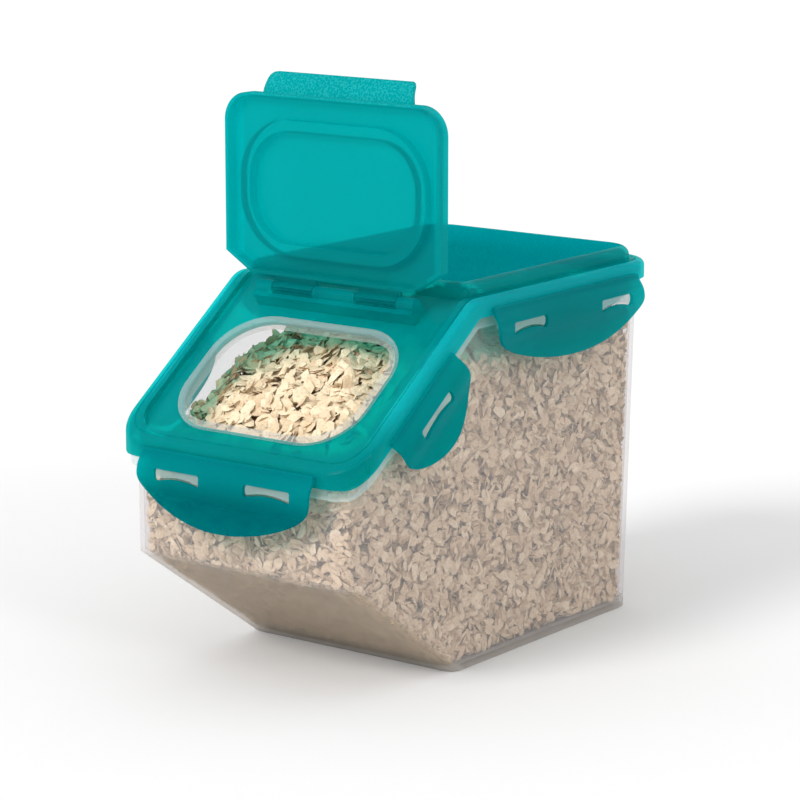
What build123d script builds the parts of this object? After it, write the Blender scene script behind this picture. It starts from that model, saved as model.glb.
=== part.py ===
"""Flip-top food canister: a clear tub with a sloping front, a tinted snap-on lid, a pour door and six latches.

Frame: millimetres, +Z up, front at -Y. The origin is the centre of the base, on the surface it stands on.
"""

import os
from math import cos, hypot, radians, sin, tan

from build123d import *

os.makedirs("parts", exist_ok=True)

# Rim: the path that the lid's top edge follows, seen from the side
slope_angle = 36.0
ridge_y = -82.0
rim_z = 195.0
ridge_radius = 16.0
least_radius = 0.8

# Lid
lid_half_width = 79.0
lid_front = -181.8
lid_rear = 90.8
lid_front_radius = 20.0
lid_rear_radius = 25.0
lid_wall = 2.2
skirt_wall = 2.0
skirt_depth = 9.5
skirt_front_z = 114.3
skirt_corner_radius = 9.0
rim_edge_radius = 3.4
groove_inset = 4.6
groove_width = 1.0
groove_depth = 0.5

# Raised panel behind the ridge
panel_half_width = 71.0
panel_front = -79.0
panel_rear = 84.4
panel_height = 6.8
panel_corner_radius = 20.0
panel_edge_radius = 5.0
panel_front_radius = 3.0

# Recess on the slope that the pour door closes into
recess_half_width = 69.6
recess_front = 9.0
recess_depth = 3.0
recess_corner_radius = 16.0
recess_length = 180.0
recess_headroom = 40.0

# Tub
tub_inset = 5.8
tub_wall = 2.2
tub_floor = 2.6
tub_base_half_width = 67.7
tub_base_front = -85.0
tub_foot_z = 62.5
tub_radius_base_front = 7.0
tub_radius_foot_front = 9.0
tub_radius_rear = 15.0
tub_rim_depth = 5.2
flange_inset = 2.4
flange_height = 5.5
flange_gap = 0.3

# Lid gasket and the rib that keeps it in its channel
rib_inset = 7.2
rib_wall = 1.6
rib_depth = 9.0
gasket_outer_inset = 2.3
gasket_inner_inset = 6.4
gasket_top_depth = 2.3
gasket_bottom_depth = 5.1

# Pour opening and its seal
opening_centre = 56.0
seal_half_width = 58.4
seal_half_length = 40.2
seal_radius = 29.0
seal_band = 4.4
seal_top = -0.6
seal_collar_wall = 2.0
seal_collar_bottom = -6.6
seal_fit = 0.2
seal_edge_radius = 0.9

# Pour door and its hinge
hinge_s = 110.8
hinge_rise = 4.2
axle_radius = 1.7
axle_clearance = 0.06
lid_knuckle_radius = 3.8
pad_margin = 0.4
pad_drop = 0.2
door_knuckle_radius = 3.6
knuckle_inner_x = 14.0
knuckle_outer_x = 40.0
knuckle_gap = 0.6
hinge_half_width = 51.0
snap_gap = 2.6
fence_front = 104.0
fence_wall = 2.8
fence_top = 4.3
door_half_width = 69.0
door_bottom = 7.6
door_bottom_half_width = 52.0
door_chamfer_top = 18.0
door_top = 101.2
door_corner_radius = 15.0
door_chamfer_radius = 2.5
door_outer = 2.6
door_wall = 2.0
door_flange_depth = 8.0
door_edge_radius = 1.0
plug_centre = 53.4
plug_half_width = 59.4
plug_half_length = 35.0
plug_radius = 31.0
plug_band = 6.0
plug_reach = 4.5
plug_root = 0.5
tab_half_width = 48.0
tab_top_half_width = 46.0
tab_height = 10.5
tab_lean = 5.2
tab_corner_radius = 4.0

# Latches, in a frame with x along the hinge, y up and z outwards, and the lid's side at z = 0
latch_wall = 2.0
latch_axis_out = 1.4
end_latch_face = [(3.3, -2.2), (5.4, -5.4), (6.7, -9.5), (6.5, -14.5), (4.7, -20.5), (4.9, -27.0), (9.6, -34.6)]
side_latch_face = [(3.3, -2.2), (5.4, -5.4), (6.7, -9.5), (6.5, -14.0), (4.9, -19.5), (4.8, -25.0), (7.4, -31.6)]
latch_shoulder = -11.0
latch_top = 2.0
latch_hinge_depth = 6.3
latch_front_z = 119.4
slot_half_length = 14.7
slot_top = -7.7
slot_end_bottom = -14.5
slot_mid_bottom = -12.3
slot_corner_radius = 1.6
lug_side_gap = 0.5
lug_top_gap = 0.5
lug_bottom_gap = 1.1
lug_reach = 5.4
end_latch_half_length = 55.0
end_slot_x = 29.0
side_latch_half_length = 66.5
side_latch_y = -3.0
side_slot_y = 40.0
slope_latch_half_length = 31.5
slope_latch_s = 60.5

# Cuts that clear a wall, and ones that clear the whole canister
through = 30.0
reach = 400.0

slope = radians(slope_angle)
front_z = rim_z - (ridge_y - lid_front) * tan(slope)
slope_plane = Plane(origin=(0, lid_front, front_z), x_dir=(1, 0, 0), z_dir=(0, -sin(slope), cos(slope)))
hinge_axis = slope_plane.from_local_coords(Vector(0, hinge_s, hinge_rise))


def slope_z(y, depth):
    """Height of the slope line at y, once it is sunk at right angles by depth."""
    return rim_z + (y - ridge_y) * tan(slope) - depth / cos(slope)


def below_rim(depth):
    """Solid of everything under the rim surface sunk by depth: slope, rounded ridge, then level."""
    ridge = (ridge_y + depth * tan(slope / 2), rim_z - depth)
    with BuildPart() as prism:
        with BuildSketch(Plane.YZ):
            with BuildLine():
                FilletPolyline(
                    (-reach, slope_z(-reach, depth)),
                    ridge,
                    (reach, ridge[1]),
                    radius=max(ridge_radius - depth, least_radius),
                )
                Polyline((reach, ridge[1]), (reach, -reach), (-reach, -reach), (-reach, slope_z(-reach, depth)))
            make_face()
        extrude(amount=reach / 2, both=True)
    return prism.part


def below_skirt(drop):
    """Solid of everything under the skirt's lower edge moved down by drop: it runs level across the front."""
    depth = skirt_depth + drop
    front = skirt_front_z - drop
    corner = (ridge_y + (front - rim_z + depth / cos(slope)) / tan(slope), front)
    ridge = (ridge_y + depth * tan(slope / 2), rim_z - depth)
    with BuildPart() as prism:
        with BuildSketch(Plane.YZ):
            with BuildLine():
                FilletPolyline(
                    (-reach, front),
                    corner,
                    ridge,
                    (reach, ridge[1]),
                    radius=[skirt_corner_radius, max(ridge_radius - depth, least_radius)],
                )
                Polyline((reach, ridge[1]), (reach, -reach), (-reach, -reach), (-reach, front))
            make_face()
        extrude(amount=reach / 2, both=True)
    return prism.part


def footprint(half_width, front, rear, front_radius, rear_radius):
    """Rounded rectangle with one radius at its front corners and another at its rear ones."""
    with BuildSketch() as outline:
        with Locations((0, (front + rear) / 2)):
            Rectangle(2 * half_width, rear - front)
        fillet(outline.vertices().group_by(Axis.Y)[0], front_radius)
        fillet(outline.vertices().group_by(Axis.Y)[-1], rear_radius)
    return outline.sketch


def outline_prism(inset):
    """Upright prism of the lid's outline, drawn in by inset."""
    face = footprint(
        lid_half_width - inset,
        lid_front + inset,
        lid_rear - inset,
        lid_front_radius - inset,
        lid_rear_radius - inset,
    )
    with BuildPart() as prism:
        add(face)
        extrude(amount=reach, both=True)
    return prism.part


def ring_solid(outer_inset, inner_inset, top, bottom):
    """Band between two outlines that follows the rim from depth top to depth bottom."""
    outer, inner = outline_prism(outer_inset), outline_prism(inner_inset)
    upper, lower = below_rim(top), below_rim(bottom)
    with BuildPart() as ring:
        add(outer)
        add(inner, mode=Mode.SUBTRACT)
        add(upper, mode=Mode.INTERSECT)
        add(lower, mode=Mode.SUBTRACT)
    return ring.part


def tub_solid(inset, floor):
    """Filled tub shape, drawn in by inset at its walls: a loft for the sloping foot, then near-upright walls."""
    run = lid_front + tub_inset - tub_base_front
    slant = inset * hypot(run, tub_foot_z) / tub_foot_z
    knee = tub_foot_z * (1 + (inset - slant) / run)
    front, rear = lid_front + tub_inset + inset, lid_rear - tub_inset - inset
    base_width = tub_base_half_width - inset
    top_width = lid_half_width - tub_inset - inset
    knee_width = base_width + (top_width - base_width) * tub_foot_z / rim_z
    base_front = tub_base_front + run * floor / tub_foot_z + slant
    rear_radius = tub_radius_rear - inset
    base_face = footprint(base_width, base_front, rear, tub_radius_base_front - inset, rear_radius)
    knee_face = footprint(knee_width, front, rear, tub_radius_foot_front - inset, rear_radius)
    top_face = footprint(top_width, front, rear, lid_front_radius - tub_inset - inset, rear_radius)
    with BuildPart() as solid:
        for low, low_face, high, high_face in (
            (floor, base_face, knee, knee_face),
            (knee, knee_face, rim_z, top_face),
        ):
            with BuildSketch(Plane.XY.offset(low)):
                add(low_face)
            with BuildSketch(Plane.XY.offset(high)):
                add(high_face)
            loft(ruled=True)
    return solid.part


def slot_prism(plane, centre, top, end_bottom, mid_bottom, half_length, out_from, out_to):
    """Prism of a slot's outline, waisted along its lower edge, between two distances out from the lid's side."""
    with BuildPart() as prism:
        with BuildSketch(plane.offset(out_from)) as outline:
            with BuildLine():
                Polyline(
                    (centre - half_length, end_bottom),
                    (centre - half_length, top),
                    (centre + half_length, top),
                    (centre + half_length, end_bottom),
                )
                ThreePointArc(
                    (centre + half_length, end_bottom), (centre, mid_bottom), (centre - half_length, end_bottom)
                )
            make_face()
            fillet(outline.vertices(), slot_corner_radius)
        extrude(amount=out_to - out_from)
    return prism.part


def lug_prism(plane, centre):
    """Lug on the tub that fills a latch's slot when the latch is shut."""
    return slot_prism(
        plane,
        centre,
        slot_top - lug_top_gap,
        slot_end_bottom + lug_bottom_gap,
        slot_mid_bottom + lug_bottom_gap,
        slot_half_length - lug_side_gap,
        -tub_inset - tub_wall / 2,
        lug_reach,
    )


def latch_solid(plane, half_length, slot_centres, face):
    """Latch flap: a bowed strip with a hinge bead along its top, an arched lower edge and a slot for each lug."""
    arch = -face[-1][1] + latch_shoulder
    section = Plane(origin=plane.origin, x_dir=plane.z_dir, z_dir=-plane.x_dir)
    bead = latch_wall / 2
    outer = [(latch_axis_out + bead, 0)] + face
    inner = [(out - latch_wall, height) for out, height in reversed(outer)]
    slots = [
        slot_prism(plane, centre, slot_top, slot_end_bottom, slot_mid_bottom, slot_half_length, 0, through)
        for centre in slot_centres
    ]
    with BuildPart() as flap:
        with BuildSketch(section):
            with BuildLine():
                Spline(*outer)
                Line(outer[-1], inner[0])
                Spline(*inner)
                Line(inner[-1], outer[0])
            make_face()
            with Locations((latch_axis_out, 0)):
                Circle(bead)
        extrude(amount=half_length + latch_wall, both=True)
        with BuildSketch(plane.offset(-latch_wall)):
            with BuildLine():
                Polyline(
                    (-half_length, latch_shoulder),
                    (-half_length, latch_top),
                    (half_length, latch_top),
                    (half_length, latch_shoulder),
                )
                EllipticalCenterArc((0, latch_shoulder), half_length, arch, start_angle=180, arc_size=180)
            make_face()
        extrude(amount=through, mode=Mode.INTERSECT)
        for slot in slots:
            add(slot, mode=Mode.SUBTRACT)
    return flap.part


# Where each latch hangs: its plane, half length, the places of its slots along it and the curve of its face
front_plane = Plane(origin=(0, lid_front, latch_front_z), x_dir=(1, 0, 0), z_dir=(0, -1, 0))
rear_plane = Plane(origin=(0, lid_rear, rim_z - latch_hinge_depth), x_dir=(-1, 0, 0), z_dir=(0, 1, 0))
slope_point = slope_plane.from_local_coords(Vector(0, slope_latch_s, -latch_hinge_depth))
latches = {
    "front_latch": (front_plane, end_latch_half_length, (-end_slot_x, end_slot_x), end_latch_face),
    "rear_latch": (rear_plane, end_latch_half_length, (-end_slot_x, end_slot_x), end_latch_face),
}
for side, name in ((1, "right"), (-1, "left")):
    slope_side = Plane(
        origin=(side * lid_half_width, slope_point.Y, slope_point.Z),
        x_dir=slope_plane.y_dir * side,
        z_dir=(side, 0, 0),
    )
    level_side = Plane(
        origin=(side * lid_half_width, side_latch_y, rim_z - latch_hinge_depth),
        x_dir=(0, side, 0),
        z_dir=(side, 0, 0),
    )
    latches[f"{name}_front_latch"] = (slope_side, slope_latch_half_length, (0,), side_latch_face)
    latches[f"{name}_rear_latch"] = (
        level_side,
        side_latch_half_length,
        (-side_slot_y, side_slot_y),
        side_latch_face,
    )

# Tub
tub_outer = tub_solid(0, 0)
tub_inner = tub_solid(tub_wall, tub_floor)
tub_top = below_rim(tub_rim_depth)
flange_top = below_skirt(flange_gap)
rim_inside = outline_prism(flange_inset + tub_wall)
with BuildPart() as channel:
    add(rim_inside)
    add(flange_top, mode=Mode.SUBTRACT)
flange_outer = outline_prism(flange_inset)
flange_bottom = below_skirt(flange_gap + flange_height)
with BuildPart() as flange:
    add(flange_outer)
    add(tub_top, mode=Mode.INTERSECT)
    add(flange_bottom, mode=Mode.SUBTRACT)
    add(channel.part, mode=Mode.SUBTRACT)
lugs = [lug_prism(plane, centre) for plane, _, centres, _ in latches.values() for centre in centres]
with BuildPart() as tub:
    add(tub_outer)
    add(flange_top, mode=Mode.INTERSECT)
    add(flange.part)
    for lug in lugs:
        add(lug)
    add(tub_inner, mode=Mode.SUBTRACT)
tub.part.label = "tub"
export_step(tub.part, "parts/tub.step")

# Lid: a filled outer shape less a filled inner one, so that its walls have one thickness
def panel_block(inset, foot):
    """Raised panel behind the ridge, drawn in by inset, on a foot that far below the rim."""
    with BuildPart() as block:
        with BuildSketch(Plane.XY.offset(rim_z - foot)):
            add(
                footprint(
                    panel_half_width - inset,
                    panel_front + inset,
                    panel_rear - inset,
                    panel_front_radius - inset / 2,
                    panel_corner_radius - inset,
                )
            )
        extrude(amount=panel_height + foot - inset)
        fillet(block.faces().sort_by(Axis.Z)[-1].edges(), panel_edge_radius - inset)
    return block.part


def recess_block(outset):
    """Space above the recess on the slope, up to the raised panel, grown by outset."""
    with BuildPart() as block:
        with BuildSketch(slope_plane.offset(-recess_depth - outset)) as floor:
            with Locations((0, recess_front - outset + recess_length / 2)):
                Rectangle(2 * (recess_half_width + outset), recess_length)
            fillet(floor.vertices().group_by(Axis.Y)[0], recess_corner_radius + outset)
        extrude(amount=recess_headroom)
        split(bisect_by=Plane(origin=(0, panel_front + outset, 0), z_dir=(0, -1, 0)), keep=Keep.TOP)
    return block.part


def slope_ring(half_width, half_length, radius, bottom, top):
    """Rounded block on the slope about the pour opening, between two heights over the rim."""
    with BuildPart() as block:
        with BuildSketch(slope_plane.offset(bottom)):
            with Locations((0, opening_centre)):
                RectangleRounded(2 * half_width, 2 * half_length, radius)
        extrude(amount=top - bottom)
    return block.part


skirt_body = outline_prism(0)
rim_top = below_rim(0)
skirt_bottom = below_skirt(0)
with BuildPart() as shell:
    add(skirt_body)
    add(rim_top, mode=Mode.INTERSECT)
    add(skirt_bottom, mode=Mode.SUBTRACT)
    crown = shell.faces().filter_by(lambda face: face.normal_at().Z > 0.5)
    rim_edges = [edge for edge in shell.edges() if sum(edge.is_same(e) for f in crown for e in f.edges()) == 1]
    fillet(rim_edges, rim_edge_radius)
groove = ring_solid(groove_inset, groove_inset + groove_width, -1, groove_depth)
panel_outer, panel_inner = panel_block(0, lid_wall / 2), panel_block(lid_wall, 2 * lid_wall)
recess, recess_wall = recess_block(0), recess_block(lid_wall)
skirt_inside = outline_prism(skirt_wall)
plate_underside = below_rim(lid_wall)
with BuildPart() as hollow:
    add(skirt_inside)
    add(plate_underside, mode=Mode.INTERSECT)
    add(panel_inner)
    add(recess_wall, mode=Mode.SUBTRACT)
rib = ring_solid(rib_inset, rib_inset + rib_wall, recess_depth, rib_depth)
opening = slope_ring(
    seal_half_width - seal_band + seal_collar_wall + seal_fit,
    seal_half_length - seal_band + seal_collar_wall + seal_fit,
    seal_radius - seal_band + seal_collar_wall + seal_fit,
    -through,
    through,
)

hinge_plane = Plane(origin=hinge_axis, x_dir=(1, 0, 0), z_dir=slope_plane.z_dir)
axle_plane = Plane(origin=hinge_axis, x_dir=(0, 1, 0), z_dir=(1, 0, 0))
outer_start = knuckle_outer_x + knuckle_gap
outer_length = hinge_half_width - outer_start
knuckle_spans = (
    (0, 2 * (knuckle_inner_x - knuckle_gap)),
    (outer_start + outer_length / 2, outer_length),
    (-outer_start - outer_length / 2, outer_length),
)
with BuildPart() as knuckles:
    with BuildSketch(hinge_plane.offset(-hinge_rise - recess_depth - lid_wall / 2)):
        Rectangle(2 * hinge_half_width, 2 * (lid_knuckle_radius + pad_margin))
    extrude(amount=recess_depth + lid_wall / 2 - pad_drop)
    for middle, length in knuckle_spans:
        with BuildSketch(hinge_plane.offset(-hinge_rise - recess_depth)):
            with Locations((middle, 0)):
                Rectangle(length, 2 * lid_knuckle_radius)
        extrude(amount=hinge_rise + recess_depth)
        with BuildSketch(axle_plane.offset(middle - length / 2)):
            Circle(lid_knuckle_radius)
        extrude(amount=length)
    with BuildSketch(axle_plane.offset(-hinge_half_width)):
        Circle(axle_radius)
    extrude(amount=2 * hinge_half_width)
    with BuildSketch(slope_plane.offset(-recess_depth - lid_wall / 2)):
        with Locations((0, fence_front + fence_wall / 2)):
            Rectangle(2 * hinge_half_width, fence_wall)
        for middle, length in knuckle_spans:
            with Locations((middle, (fence_front + hinge_s) / 2)):
                Rectangle(length, hinge_s - fence_front)
    extrude(amount=fence_top + recess_depth + lid_wall / 2)

with BuildPart() as lid:
    add(shell.part)
    add(panel_outer)
    add(recess, mode=Mode.SUBTRACT)
    add(groove, mode=Mode.SUBTRACT)
    add(hollow.part, mode=Mode.SUBTRACT)
    add(rib)
    add(opening, mode=Mode.SUBTRACT)
    add(knuckles.part)
lid.part.label = "lid"
export_step(lid.part, "parts/lid.step")

# Lid gasket
with BuildPart() as lid_gasket:
    add(ring_solid(gasket_outer_inset, gasket_inner_inset, gasket_top_depth, gasket_bottom_depth))
lid_gasket.part.label = "lid_gasket"
export_step(lid_gasket.part, "parts/lid_gasket.step")

# Pour seal: a flat band round the opening, with a collar down through it
seal_outer = slope_ring(seal_half_width, seal_half_length, seal_radius, -recess_depth, seal_top)
collar = slope_ring(
    seal_half_width - seal_band + seal_collar_wall,
    seal_half_length - seal_band + seal_collar_wall,
    seal_radius - seal_band + seal_collar_wall,
    seal_collar_bottom,
    -recess_depth,
)
pour_hole = slope_ring(
    seal_half_width - seal_band, seal_half_length - seal_band, seal_radius - seal_band, -through, through
)
with BuildPart() as pour_seal:
    add(seal_outer)
    fillet(pour_seal.faces().sort_by(Axis.Z)[-1].edges(), seal_edge_radius)
    add(collar)
    add(pour_hole, mode=Mode.SUBTRACT)
pour_seal.part.label = "pour_seal"
export_step(pour_seal.part, "parts/pour_seal.step")

# Pour door, standing open: its own plane has x along the hinge, y up the door and z out of its underside
door_plane = Plane(origin=hinge_axis, x_dir=(1, 0, 0), z_dir=(0, -1, 0))


def door_block(inset, bottom, top):
    """Door's outline drawn in by inset, between two heights over its hinge plane."""
    with BuildPart() as block:
        with BuildSketch(door_plane.offset(bottom)) as outline:
            with BuildLine():
                Polyline(
                    (-door_bottom_half_width + inset / 2, door_bottom + inset),
                    (door_bottom_half_width - inset / 2, door_bottom + inset),
                    (door_half_width - inset, door_chamfer_top + inset / 2),
                    (door_half_width - inset, door_top - inset),
                    (inset - door_half_width, door_top - inset),
                    (inset - door_half_width, door_chamfer_top + inset / 2),
                    close=True,
                )
            make_face()
            low, middle, high = outline.vertices().group_by(Axis.Y)
            fillet(high, door_corner_radius - inset)
            fillet(low + middle, door_chamfer_radius)
        extrude(amount=top - bottom)
    return block.part


def plug_block(inset, bottom, top):
    """Block on the door's underside that faces the pour seal, drawn in by inset."""
    with BuildPart() as block:
        with BuildSketch(door_plane.offset(bottom)):
            with Locations((0, plug_centre)):
                RectangleRounded(2 * (plug_half_width - inset), 2 * (plug_half_length - inset), plug_radius - inset)
        extrude(amount=top - bottom)
    return block.part


underside = door_wall - door_outer
door_tray = door_block(0, -door_outer, door_flange_depth - door_outer)
door_pocket = door_block(door_wall, underside, door_flange_depth)
plug = plug_block(0, underside - plug_root, plug_reach)
plug_hole = plug_block(plug_band, underside, through)
tab_curve = [(door_top - 1.2, 0.0), (door_top + 3.0, -0.5), (door_top + 7.0, -2.4), (door_top + tab_height, -tab_lean)]
tab_plane = Plane(origin=hinge_axis, x_dir=(0, 0, 1), z_dir=(1, 0, 0))
with BuildPart() as tab:
    with BuildSketch(tab_plane):
        with BuildLine():
            outer_line = [(up, lean - door_outer) for up, lean in tab_curve]
            inner_line = [(up, out + door_wall) for up, out in reversed(outer_line)]
            Spline(*outer_line)
            Line(outer_line[-1], inner_line[0])
            Spline(*inner_line)
            Line(inner_line[-1], outer_line[0])
        make_face()
    extrude(amount=tab_half_width, both=True)
    with BuildSketch(door_plane.offset(-through)) as tab_outline:
        with BuildLine():
            Polyline(
                (-tab_half_width, door_top - 3),
                (tab_half_width, door_top - 3),
                (tab_half_width, door_top),
                (tab_top_half_width, door_top + tab_height),
                (-tab_top_half_width, door_top + tab_height),
                (-tab_half_width, door_top),
                close=True,
            )
        make_face()
        fillet(tab_outline.vertices().group_by(Axis.Y)[-1], tab_corner_radius)
    extrude(amount=2 * through, mode=Mode.INTERSECT)

barrel_middle = (knuckle_inner_x + knuckle_outer_x) / 2
barrel_length = knuckle_outer_x - knuckle_inner_x
with BuildPart() as pour_door:
    add(door_tray)
    fillet(pour_door.faces().sort_by(Axis.Y)[-1].edges(), door_edge_radius)
    add(door_pocket, mode=Mode.SUBTRACT)
    add(plug)
    add(plug_hole, mode=Mode.SUBTRACT)
    add(tab.part)
    for middle in (-barrel_middle, barrel_middle):
        with BuildSketch(axle_plane.offset(middle - barrel_length / 2)):
            Circle(door_knuckle_radius)
        extrude(amount=barrel_length)
        with BuildSketch(door_plane.offset(-door_outer)):
            with Locations((middle, (door_bottom + door_wall) / 2)):
                Rectangle(barrel_length, door_bottom + door_wall)
        extrude(amount=door_wall)
        with BuildSketch(axle_plane.offset(middle - barrel_length / 2)):
            Circle(axle_radius + axle_clearance)
        extrude(amount=barrel_length, mode=Mode.SUBTRACT)
        with BuildSketch(door_plane):
            with Locations((middle, 0)):
                Rectangle(barrel_length, snap_gap)
        extrude(amount=through, mode=Mode.SUBTRACT)
pour_door.part.label = "pour_door"
export_step(pour_door.part, "parts/pour_door.step")

# Latches
for name, (plane, half_length, centres, face) in latches.items():
    with BuildPart() as latch:
        add(latch_solid(plane, half_length, centres, face))
    latch.part.label = name
    export_step(latch.part, f"parts/{name}.step")
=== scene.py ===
"""Looks for a flip-top food canister: a clear tub of rolled oats under a translucent teal lid.

Every length is in metres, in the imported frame: +Z up, the sloping pour front at -Y, the origin under
the base.
"""

import math

import bpy
import numpy as np
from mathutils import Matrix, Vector


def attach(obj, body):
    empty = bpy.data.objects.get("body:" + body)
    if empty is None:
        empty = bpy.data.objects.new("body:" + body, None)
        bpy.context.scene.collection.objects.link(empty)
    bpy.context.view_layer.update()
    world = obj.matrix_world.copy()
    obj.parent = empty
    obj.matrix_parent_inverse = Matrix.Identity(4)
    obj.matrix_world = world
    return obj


bl_info = {
    "name": "Food canister looks",
    "version": (1, 0, 0),
    "blender": (4, 5, 0),
    "location": "View3D > Sidebar > Canister",
    "description": "Dresses the packed food canister in its plastics and fills it with rolled oats",
    "category": "Object",
}

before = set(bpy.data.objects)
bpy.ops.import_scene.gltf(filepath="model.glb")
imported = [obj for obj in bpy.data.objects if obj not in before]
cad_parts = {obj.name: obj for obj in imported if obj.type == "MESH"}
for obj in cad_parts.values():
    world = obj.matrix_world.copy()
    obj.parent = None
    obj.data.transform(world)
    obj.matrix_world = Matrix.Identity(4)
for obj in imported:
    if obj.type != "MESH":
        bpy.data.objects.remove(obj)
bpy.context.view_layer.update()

ROOT = "canister"
LATCHES = [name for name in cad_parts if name.endswith("latch")]

# The tub's shape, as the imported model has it
RIM_Z = 0.195
FOOT_FRONT, FOOT_Z, TUB_FRONT, TUB_REAR = -0.085, 0.0625, -0.176, 0.085
BASE_HALF, TOP_HALF, TUB_WALL, TUB_FLOOR = 0.0677, 0.0732, 0.0022, 0.0026
CORNER_FRONT, CORNER_REAR = 0.009, 0.015
# Inside corners: the wall's y, the way it faces and the corner's radius
CORNERS = (
    (TUB_REAR - TUB_WALL, 1, CORNER_REAR - TUB_WALL),
    (TUB_FRONT + TUB_WALL, -1, CORNER_FRONT - TUB_WALL),
)

# The flat of the lid's rear panel, with its soft border's width, and the foot of the door's finger tab
PANEL_HALF, PANEL_FRONT, PANEL_REAR, PANEL_Z, PANEL_SOFT = 0.0655, -0.0745, 0.0785, 0.2012, 0.001
TAB_Z = 0.2912

# The heap: its height along y, and how much higher it is in the middle than at the sides
HEAP_Y = (-0.174, -0.130, -0.093, -0.066, -0.045, 0.085)
HEAP_Z = (0.101, 0.128, 0.143, 0.154, 0.158, 0.162)
CROWN_Y = (-0.176, -0.13, -0.07, 0.0, 0.085)
CROWN_Z = (0.005, 0.013, 0.016, 0.009, 0.004)
HEAP_HALF = 0.071

# Flakes: ranges of their half axes, how far they tumble, and how deep the layer of them is
WALL_LONG, WALL_SHORT = (0.0022, 0.0050), (0.0012, 0.0033)
HEAP_LONG, HEAP_SHORT = (0.0034, 0.0056), (0.0026, 0.0040)
WALL_TUMBLE, FOOT_TUMBLE, HEAP_TUMBLE = 1.05, 0.6, 0.34
WALL_DEPTH, FOOT_DEPTH, HEAP_DEPTH = 0.0055, 0.005, 0.005
FLAKE_SIDES, CLEARANCE, SEED = 8, 0.0006, 11
# The radius of the tub's corners for the flakes, and the shares that thin their layer and shrink them there
TURN_RADIUS, CORNER_DEPTH, CORNER_SIZE = 0.0075, 0.35, 0.6
# The heights between which the walls carry flakes, the reach in x of the foot's and the heap's flakes, and
# how far the heap's start from the front and the rear
LOWEST, HIGHEST, FOOT_HALF, HEAP_REACH, HEAP_INSET = 0.003, 0.168, 0.069, 0.07, 0.003
# The gap that moved flakes leave to the walls, and the smaller one that they must have to stay
SETTLE_GAP, LEAST_GAP = 0.0005, 0.0003
# How far over the heap's surface the middle of a wall flake and of a heap flake may stand
WALL_SLACK, HEAP_SLACK = 0.0015, 0.004
# The core's drop below the heap and its rise above the floor
CORE_DROP, CORE_RISE = 0.006, 0.004

# Colours that the scene's settings don't hold
FOOT_COLOUR, FLOOR_COLOUR, RIM_COLOUR = (0.56, 0.50, 0.41), (0.56, 0.53, 0.49), (0.72, 0.88, 0.88)
TAB_SPECK = (0.16, 0.85, 0.84)
OAT_WARM, OAT_SHADE = (0.64, 0.48, 0.31), (0.50, 0.34, 0.20)
# Dark colours of the oat core: painted shade that stands for the gaps between the flakes
SHADED_CORE_COLOURS = ((0.42, 0.32, 0.22), (0.30, 0.22, 0.14), (0.16, 0.11, 0.07))
CLEAR_COLOUR = (0.965, 0.95, 0.955)
# Share of a plastic's colour that its deeper second colour keeps, and the plastics' index of refraction
DEEPER, PLASTIC_IOR = 0.93, 1.5

# The stage: half the floor's side, its height and its tone, and each sun's name, aim, strength and angle
# in degrees
FLOOR_SIDE, FLOOR_HEIGHT, FLOOR_TONE = 6.0, -0.0004, 0.705
SUNS = (
    ("key", (0.16, 0.74, -0.50), 2.15, 20.0),
    ("fill", (-0.80, 0.25, -0.45), 0.6, 16.0),
)
# The camera: its place, the angles it looks from, and its lens and frame in millimetres
CAMERA_PLACE = (0.9667, -1.3237, 0.4659)
AZIMUTH, ELEVATION = math.radians(37.0), math.radians(11.9)
LENS, SENSOR = 139.5, 36.0


# ---------------------------------------------------------------- node helpers


def feed(tree, socket, value):
    """Gives an input its value: a link from a socket, a number, or a colour with full alpha."""
    if isinstance(value, bpy.types.NodeSocket):
        tree.links.new(value, socket)
    elif isinstance(value, tuple):
        socket.default_value = (*value, 1.0)
    else:
        socket.default_value = value


def link(tree, pairs):
    """Links each (output socket, input socket) pair."""
    for out_socket, in_socket in pairs:
        tree.links.new(out_socket, in_socket)


def math_node(tree, operation, a, b=None, clamp=False):
    """A Math node on numbers or sockets, and its output."""
    node = tree.nodes.new("ShaderNodeMath")
    node.operation, node.use_clamp = operation, clamp
    for socket, value in zip(node.inputs, (a, b)):
        if value is not None:
            feed(tree, socket, value)
    return node.outputs[0]


def ramp(tree, value, start, full):
    """Smooth step of a socket from 0 at start to 1 at full."""
    node = tree.nodes.new("ShaderNodeMapRange")
    node.interpolation_type = "SMOOTHSTEP"
    node.inputs["From Min"].default_value, node.inputs["From Max"].default_value = start, full
    tree.links.new(value, node.inputs["Value"])
    return node.outputs["Result"]


def mix_colour(tree, factor, a, b):
    """Colour mix of two colours or sockets, and its output."""
    node = tree.nodes.new("ShaderNodeMix")
    node.data_type = "RGBA"
    for socket, value in ((node.inputs[0], factor), (node.inputs[6], a), (node.inputs[7], b)):
        feed(tree, socket, value)
    return node.outputs[2]


def object_coords(tree):
    """The Object coordinates."""
    return tree.nodes.new("ShaderNodeTexCoord").outputs["Object"]


def position(tree):
    """The X, Y and Z of the Object coordinates."""
    split = tree.nodes.new("ShaderNodeSeparateXYZ")
    tree.links.new(object_coords(tree), split.inputs[0])
    return split.outputs


def noise(tree, coords, scale, detail=3.0, roughness=0.55):
    """Noise texture on the given coordinates, and its value."""
    node = tree.nodes.new("ShaderNodeTexNoise")
    node.inputs["Detail"].default_value, node.inputs["Roughness"].default_value = detail, roughness
    feed(tree, node.inputs["Scale"], scale)
    tree.links.new(coords, node.inputs["Vector"])
    return node.outputs["Fac"]


def bump(tree, height, distance, strength):
    """Bump node from a height in units of distance, and its normal."""
    node = tree.nodes.new("ShaderNodeBump")
    node.inputs["Distance"].default_value, node.inputs["Strength"].default_value = distance, strength
    tree.links.new(height, node.inputs["Height"])
    return node.outputs["Normal"]


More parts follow.
